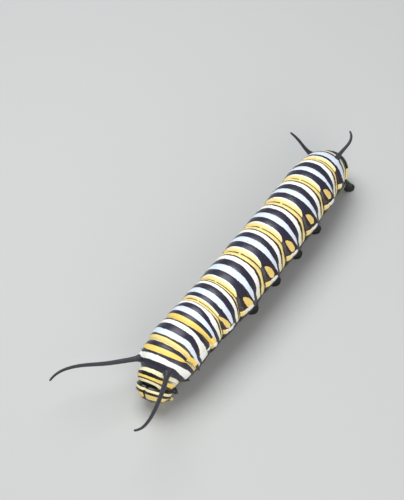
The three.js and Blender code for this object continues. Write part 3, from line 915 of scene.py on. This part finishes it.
def head_colour(tree):
    wobble = times(tree, minus(tree, mottle(tree, 1.2, 3.0), 0.5), 0.1)
    left = sum_of(tree, "ABSOLUTE", attribute(tree, "across"))
    up = attribute(tree, "height")
    deep = sum_of(tree, "ADD", attribute(tree, "depth"), wobble)
    off_middle = sum_of(tree, "ABSOLUTE", minus(tree, deep, ARCH_MIDDLE))
    seam = step_up(tree, minus(tree, left, times(tree, off_middle, 0.25)), 0.06, 0.04)
    lean = times(tree, minus(tree, FRONS_TOP, up), FRONS_HALF / FRONS_TALL)
    frons = times(tree, step_up(tree, minus(tree, lean, left), 0.04, 0.06),
                  step_up(tree, deep, 0.45, 0.5))
    cheek = times(tree, step_up(tree, up, -0.3, -0.4), step_up(tree, left, 0.5, 0.6))
    mouth = step_up(tree, up, -0.78, -0.84)
    paint = INK
    for cover, colour in (
            (between(tree, deep, *INNER_ARCH, ARCH_SOFT), HEAD_YELLOW), (seam, INK),
            (between(tree, deep, *OUTER_ARCH, ARCH_SOFT), HEAD_CREAM), (frons, HEAD_YELLOW),
            (cheek, INK), (mouth, INK)):
        paint = mix_colour(tree, cover, paint, colour)
    return paint, 0.32


def round_face(turned, deep):
    """A direction of the head from two angles in radians: round the face, and off its middle."""
    return math.cos(deep), math.sin(deep) * math.sin(turned), math.sin(deep) * math.cos(turned)


head_shell = finish_of("head shell", 0.3, 0.25, 0.5, 0.5, head_colour, coat=0.12, uneven=0.08)
head_mesh = head_shape()
for side, _ in SIDES:
    for turned, deep in EYES:
        middle = shell_point(round_face(math.radians(turned) * side, math.radians(deep)))
        bead = bmesh.ops.create_uvsphere(head_mesh, u_segments=16, v_segments=10,
                                         radius=EYE_RADIUS * MM)["verts"]
        bmesh.ops.translate(head_mesh, verts=bead, vec=middle * MM)
        for bead_face in {found for vert in bead for found in vert.link_faces}:
            bead_face.material_index = 1
make_piece("head_capsule", head_mesh, [head_shell, eye_shell], "head_shell", "head")


# %% [markdown]
# Mouth. Under the face hang a notched upper lip, two dark jaws that meet edge to edge, and a
# lower lip with the spinneret that lays silk. They are small blocks of flesh and shell, each
# rolled from a few oval rings, with a notch pressed into the middle of its lower edge.

# %% Mouth parts and antennae
def oval_rule(path, radii, flat):
    """The rule for a block of oval rings in the head's own directions."""
    def place(t, turn):
        step = t * (len(path) - 1)
        k = min(int(step), len(path) - 2)
        mix = step - k
        forward, left, up = (a + (b - a) * mix for a, b in zip(path[k], path[k + 1]))
        radius = radii[k] + (radii[k + 1] - radii[k]) * mix
        radius *= 0 if t in (0, 1) else min(1, math.sqrt((1 - t) / 0.12))
        angle = turn * 2 * math.pi
        notch = 0.12 * bell(math.sin(angle), 0.3) * bell(1 - t, 0.3)
        return in_head(forward + radius * flat * math.cos(angle),
                       left + radius * math.sin(angle), up + notch)
    return place


# Piece, node, ring centres (forward, left, up), ring radii, flatness and finish
MOUTH = [
    ("upper_lip_notched", "upper_lip",
     [(0.72, 0, -1.2), (0.84, 0, -1.75), (0.82, 0, -2.05), (0.78, 0, -2.16)],
     (0.5, 0.56, 0.54, 0.42), 0.34, lip_shell),
    *((f"jaw_{word}_toothed", f"jaw_{word}",
       [(0.2, side * 0.5, -1.3), (0.2, side * 0.47, -1.9), (0.2, side * 0.4, -2.12),
        (0.2, side * 0.36, -2.2)], (0.3, 0.32, 0.28, 0.2), 0.85, jaw_shell)
      for side, word in SIDES),
    ("lower_lip_spinneret", "lower_lip",
     [(-0.36, 0, -1.2), (-0.38, 0, -1.8), (-0.36, 0, -2.05), (-0.3, 0, -2.22)],
     (0.42, 0.42, 0.26, 0.1), 0.55, lip_shell),
]
for name, node_name, path, radii, flat, material in MOUTH:
    make_tube(name, (20, 28), oval_rule(path, radii, flat), material, "mouthparts", node_name)

ANTENNA_PATH = ((0.5, 0.9, -1.0), (0.62, 1.1, -1.5), (0.74, 1.15, -1.75), (0.84, 1.16, -1.96))
ANTENNA_JOINTS = (0.55, 0.8)


def antenna_radius(t):
    waist = sum(0.05 * bell(t - joint, 0.03) for joint in ANTENNA_JOINTS)
    return (0.24 - 0.08 * t - waist) * min(1, math.sqrt((1 - t) / 0.1))


for side, word in SIDES:
    points = [in_head(forward, side * left, up) for forward, left, up in ANTENNA_PATH]
    make_tube(f"antenna_{word}_jointed", (40, 20), limb_rule(points, antenna_radius),
              antenna_shell, "head_shell", f"antenna_{word}")

# %% [markdown]
# Filaments. The four soft black threads are outgrowths of the skin, not true antennae. They
# flare where they leave the body, keep their thickness for most of their length and end
# blunt. Each is a tube walked out along the same compass and climb angles as in the solid.

# %% Filaments
FILAMENTS = (
    ("front_filament_right", FRONT_FILAMENT, -1, (-41, -41, -43, -29, 6), (6, 8, 15, 13, 0)),
    ("front_filament_left", FRONT_FILAMENT, 1, (29, 22, 19, 12, -12), (12, 13, 17, 27, 47)),
    ("rear_filament_right", REAR_FILAMENT, -1, (-68, -72, -75, -73, -71), (42, 52, 57, 50, 40)),
    ("rear_filament_left", REAR_FILAMENT, 1, (155, 154, 164, 198, 246), (66, 46, 28, 18, 11)),
)
QUARTERS = (0, 0.25, 0.5, 0.75, 1)
FILAMENT_WALK = 48


def filament_path(kind, side, compass, climb):
    compass_at, climb_at = through(QUARTERS, compass), through(QUARTERS, climb)
    point = wall(kind["at"], side * kind["round"] - LEAN, radius_at(kind["at"]) * 0.9)
    path = [point]
    for i in range(FILAMENT_WALK):
        t = (i + 0.5) / FILAMENT_WALK
        point = point + heading(compass_at(t), climb_at(t)) * (kind["long"] / FILAMENT_WALK)
        path.append(point)
    return path


def filament_radius(kind):
    """The rule for a filament's radius: flared at the skin, a little uneven and blunt."""
    thick, length = through(QUARTERS, kind["radii"]), kind["long"]

    def radius(t):
        flare = kind["flare"] * bell(t * length - 0.1, 0.45)
        blunt = min(1, math.sqrt(max(0, (1 - t) * length / 0.16)))
        uneven = 1 + 0.03 * noise.noise(Vector((t * length * 2.5, length, 1.0)))
        return (thick(t) * uneven + flare) * blunt

    return radius


for name, kind, side, compass, climb in FILAMENTS:
    path = filament_path(kind, side, compass, climb)
    make_tube(f"{name}_flesh", (round(kind["long"] * 12) + 24, 28),
              limb_rule(path, filament_radius(kind)), filament_skin, "filament_skin", name)

# %% [markdown]
# True legs. The three front pairs are real insect legs: short, glossy, black and jointed, each
# ending in one curved claw. A single rolled tube with a waist at each joint gives the shape,
# because the joints of a leg this small are folds of one shell rather than separate parts.

# %% True legs
LEG_BACK = {0: -0.35, 1: 0.35, 2: 0.45}
LEG_SPREAD, LEG_HIP, KNEE_OUT, CLAW_HEIGHT = 1.62, 1.0, 0.22, 0.06
LEG_JOINTS = (0.3, 0.52, 0.72)
LEG_WALK = 24
leg_thick = through((0, 0.15, 0.4, 0.62, 0.8, 0.9, 1), (0.44, 0.42, 0.33, 0.24, 0.15, 0.07, 0.03))


def leg_radius(t):
    waist = sum(0.07 * bell(t - joint, 0.025) for joint in LEG_JOINTS)
    return leg_thick(t) - waist * (1.2 - t)


def leg_path(ring, side):
    centre, _, left, up = section(MIDDLES[ring])
    foot = centre - up * (centre.z / up.z)
    foot.x -= LEG_BACK[ring]
    foot = foot + left * (side * LEG_SPREAD)
    hip = centre - up * (0.7 * RINGS[ring][2]) + left * (side * LEG_HIP)
    knee = hip.lerp(foot, 0.5) + left * (side * KNEE_OUT)
    foot.z = CLAW_HEIGHT
    ankle = foot.lerp(hip, 0.22)
    curves = [through((0, 0.5, 0.78, 1), axis) for axis in zip(hip, knee, ankle, foot)]
    return [Vector([curve(i / LEG_WALK) for curve in curves]) for i in range(LEG_WALK + 1)]


for ring in LEG_BACK:
    for side, word in SIDES:
        leg = f"leg_{ring + 1}_{word}"
        make_tube(f"{leg}_jointed", (72, 20), limb_rule(leg_path(ring, side), leg_radius),
                  leg_shell, "leg_shell", leg)

# %% [markdown]
# Prolegs. The fleshy feet of the abdomen are stumps of wrinkled black skin on a soft sole. The
# sole's inner edge carries a row of tiny amber hooks, the crochets, that grip silk. The stump
# is a rolled oval tube, and a short loop sets the hooks round its inner half.

# %% Prolegs
PROLEG = {"shank": 0.8, "ankle": 0.62, "sole": (0.72, 0.62), "spread": 1.5, "root": 1.5,
          "drop": 1.9}
ANAL_PROLEG = {"shank": 0.74, "ankle": 0.6, "sole": (0.66, 0.58), "spread": 1.95, "root": 0.95,
               "drop": 1.0, "back": 1.2}
PROLEG_STEPS = (0, 0.35, 0.72, 0.86, 0.95, 1)
SOLE_FROM = 0.9
HOOKS = 16


def proleg_rule(root, foot, sizes):
    along_x, along_y = (
        through(PROLEG_STEPS, (sizes["shank"], sizes["shank"] * taper, sizes["ankle"],
                               sole * 0.96, sole, sole * 0.86))
        for sole, taper in zip(sizes["sole"], (1, 0.95)))

    def place(t, turn):
        down = min(t / SOLE_FROM, 1)
        centre = root.lerp(foot, down)
        inward = 1 if t < SOLE_FROM else (1 - t) / 0.1
        fold = 0.03 * math.cos(down * 34) * (1 - down) + 0.05 * bell(down - 0.78, 0.04)
        angle = turn * 2 * math.pi
        dent = 1 - 0.03 * math.cos(5 * angle + 3 * down)
        x = (along_x(down) - fold) * math.cos(angle) * inward * dent
        y = (along_y(down) - fold) * math.sin(angle) * inward * dent
        return Vector((centre.x + x, centre.y + y, max(centre.z, 0.01)))

    return place


def add_hooks(shape, foot, sizes, side):
    """Crochets in an arc along the inner edge of the sole, each a small bent cone."""
    long, wide = sizes["sole"]
    for k in range(HOOKS):
        angle = math.radians(-70 + 140 * k / (HOOKS - 1)) - side * math.pi / 2
        rim = Vector((foot.x + long * 0.9 * math.cos(angle),
                      foot.y + wide * 0.9 * math.sin(angle), 0.12))
        out = Vector((math.cos(angle), math.sin(angle), 0))
        points = [rim + out * reach + Vector((0, 0, lift))
                  for reach, lift in ((0, 0), (0.1, 0.03), (0.16, -0.04), (0.14, -0.1))]
        roll_into(shape, 6, 6, limb_rule(points, lambda t: 0.03 * (1 - 0.8 * t)), material=1)


def add_proleg(node_name, centre, left, foot, sizes, side):
    root = centre + left * (side * sizes["root"])
    root.z = centre.z - sizes["drop"]
    shape = bmesh.new()
    roll_into(shape, 56, 40, proleg_rule(root, foot, sizes))
    add_hooks(shape, foot, sizes, side)
    make_piece(f"{node_name}_fleshy", shape, [proleg_skin, hook_amber], "proleg_skin", node_name)


for number, (ring, foot_x) in PROLEG_RINGS.items():
    centre, _, left, _ = section(PROLEG_AT[number])
    for side, word in SIDES:
        foot = Vector((foot_x - BOX_MIDDLE.x, centre.y + side * PROLEG["spread"], 0))
        add_proleg(f"proleg_{number}_{word}", centre, left, foot, PROLEG, side)

centre, _, left, _ = section(MIDDLES[ABDOMEN_9])
for side, word in SIDES:
    foot = centre + left * (side * ANAL_PROLEG["spread"])
    foot.x -= ANAL_PROLEG["back"]
    foot.z = 0
    add_proleg(f"anal_proleg_{word}", centre, left, foot, ANAL_PROLEG, side)


# %% [markdown]
# Spiracles. A larva breathes through a small oval hole on each side of most rings, low on the
# flank by the dark crease in front of the golden spot. A disc is the simplest start: two
# insets raise its rim and sink its middle, and it is then stood on the skin.

# %% Spiracles
SPIRACLE_RADIUS = 0.15
SPIRACLE_TURNED = 82
# By ring: millimetres behind the front crease
SPIRACLE_BEHIND = {0: 1.0, **dict.fromkeys(range(3, 11), -0.08)}


def stand_on_skin(at, turned, sink=0.0):
    """A matrix that sets a shape on the skin, its Z straight out and its X along the body."""
    here = skin_point(at, turned, sink)
    ahead = skin_point(at - 0.15, turned, sink) - here
    aside = skin_point(at, turned + 4, sink) - here
    outward = ahead.cross(aside).normalized()
    ahead = (ahead - outward * ahead.dot(outward)).normalized()
    turned_frame = Matrix((ahead, outward.cross(ahead), outward)).transposed().to_4x4()
    return Matrix.Translation(here) @ turned_frame


def spiracle(at, turned):
    """One spiracle as a mesh of its own: an oval disc with a raised rim and a sunk middle."""
    shape = bmesh.new()
    bmesh.ops.create_circle(shape, segments=28, radius=SPIRACLE_RADIUS, cap_ends=True)
    disc = list(shape.faces)
    bmesh.ops.inset_region(shape, faces=disc, thickness=0.04, depth=0.03)
    bmesh.ops.inset_region(shape, faces=disc, thickness=0.03, depth=-0.05)
    bmesh.ops.scale(shape, verts=shape.verts, vec=(0.72, 1.2, 1))
    bmesh.ops.transform(shape, verts=shape.verts,
                        matrix=Matrix.Scale(MM, 4) @ stand_on_skin(at, turned, -0.015))
    bmesh.ops.recalc_face_normals(shape, faces=shape.faces)
    mesh = bpy.data.meshes.new("one spiracle")
    shape.to_mesh(mesh)
    shape.free()
    return mesh


spiracle_shape = bmesh.new()
for ring, behind in SPIRACLE_BEHIND.items():
    for side, _ in SIDES:
        one = spiracle(EDGES[ring][0] + behind, side * SPIRACLE_TURNED)
        spiracle_shape.from_mesh(one)
        bpy.data.meshes.remove(one)
make_piece("spiracles", spiracle_shape, [spiracle_rim], "leg_shell")

# %% [markdown]
# Hairs. The skin looks bare, but short fine hairs stand on it and on the head. Each is a thin
# cone leaning a little to the rear. The places come from a seeded number source, so they are
# the same on every run.

# %% Short hairs
SKIN_HAIRS = 900
HEAD_HAIRS = 80
chance = random.Random(7)
hair_shape = bmesh.new()


def add_hair(stand, length, lean):
    """Adds one cone of a length in millimetres, leaning back by some degrees."""
    tilt = Matrix.Rotation(math.radians(-lean), 4, "Y")
    lift = Matrix.Translation((0, 0, length / 2 - 0.03))
    bmesh.ops.create_cone(hair_shape, segments=5, radius1=0.013, radius2=0.003, depth=length,
                          matrix=Matrix.Scale(MM, 4) @ stand @ tilt @ lift)


for _ in range(SKIN_HAIRS):
    at = chance.uniform(0.3, BODY_LENGTH - 0.5)
    turned = chance.uniform(-125, 125)
    add_hair(stand_on_skin(at, turned), chance.uniform(0.1, 0.24), chance.uniform(5, 35))
for _ in range(HEAD_HAIRS):
    deep = chance.uniform(0.35, 1.75)
    root = shell_point(round_face(chance.uniform(-2.4, 2.4), deep))
    turn = (root - head_centre).normalized().to_track_quat("Z", "Y").to_matrix().to_4x4()
    add_hair(Matrix.Translation(root) @ turn, chance.uniform(0.12, 0.28), chance.uniform(-15, 15))
make_piece("short_hairs", hair_shape, [hair_pale], "leg_shell")

# %% [markdown]
# Floor, light and camera. The floor and the light are plain, as in a museum's photo room: one
# soft panel overhead, a weaker one in front and a dim room around them.

# %% Floor, light and camera
floor_material = bpy.data.materials.new("pale floor")
floor_material.use_nodes = True
floor_tree = floor_material.node_tree
feed(floor_tree, floor_tree.nodes["Principled BSDF"],
     {"Base Color": (0.52, 0.52, 0.505, 1), "Roughness": 0.8})
floor_shape = bmesh.new()
bmesh.ops.create_grid(floor_shape, x_segments=1, y_segments=1, size=2)
into_object("floor", floor_shape, [floor_material])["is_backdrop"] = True

world = bpy.data.worlds.new("soft room")
bpy.context.scene.world = world
world.use_nodes = True
feed(world.node_tree, world.node_tree.nodes["Background"],
     {"Color": (0.88, 0.94, 1.0, 1), "Strength": 0.3})


def turned_to(place, aim):
    return (aim - place).to_track_quat("-Z", "Y")


def add_light(name, place, size, watts, colour):
    data = bpy.data.lights.new(name, "AREA")
    data.size = size
    data.energy = watts
    data.color = colour
    lamp = into_scene(name, data)
    lamp.location = Vector(place) * MM
    lamp.rotation_euler = turned_to(Vector(place), Vector((0, 0, 4))).to_euler()


add_light("sky panel", (-10, -40, 150), 0.12, 0.25, (0.96, 0.98, 1.0))
add_light("front panel", (90, 110, 70), 0.12, 0.13, (1.0, 0.98, 0.95))

CAMERA_PLACE = Vector((81.025, 54.609, 131.299)) - BOX_MIDDLE
CAMERA_AIM = Vector((3.642, -5.471, 4.6)) - BOX_MIDDLE
CAMERA_ROLL = -4.43
camera_data = bpy.data.cameras.new("camera")
camera_data.lens = 108.65
camera_data.clip_start = 0.005
camera = into_scene("camera", camera_data)
camera.matrix_world = (
    Matrix.Translation(CAMERA_PLACE * MM)
    @ turned_to(CAMERA_PLACE, CAMERA_AIM).to_matrix().to_4x4()
    @ Matrix.Rotation(math.radians(CAMERA_ROLL), 4, "Z"))
bpy.context.scene.camera = camera
bpy.context.scene.view_settings.view_transform = "Standard"

# %% Sizes, and the end
seen_low, seen_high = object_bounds()
for what, low, high in (("solids", cad_low, cad_high), ("dressed model", seen_low, seen_high)):
    print("box of the", what + ", mm:", [round((b - a) / MM, 2) for a, b in zip(low, high)])
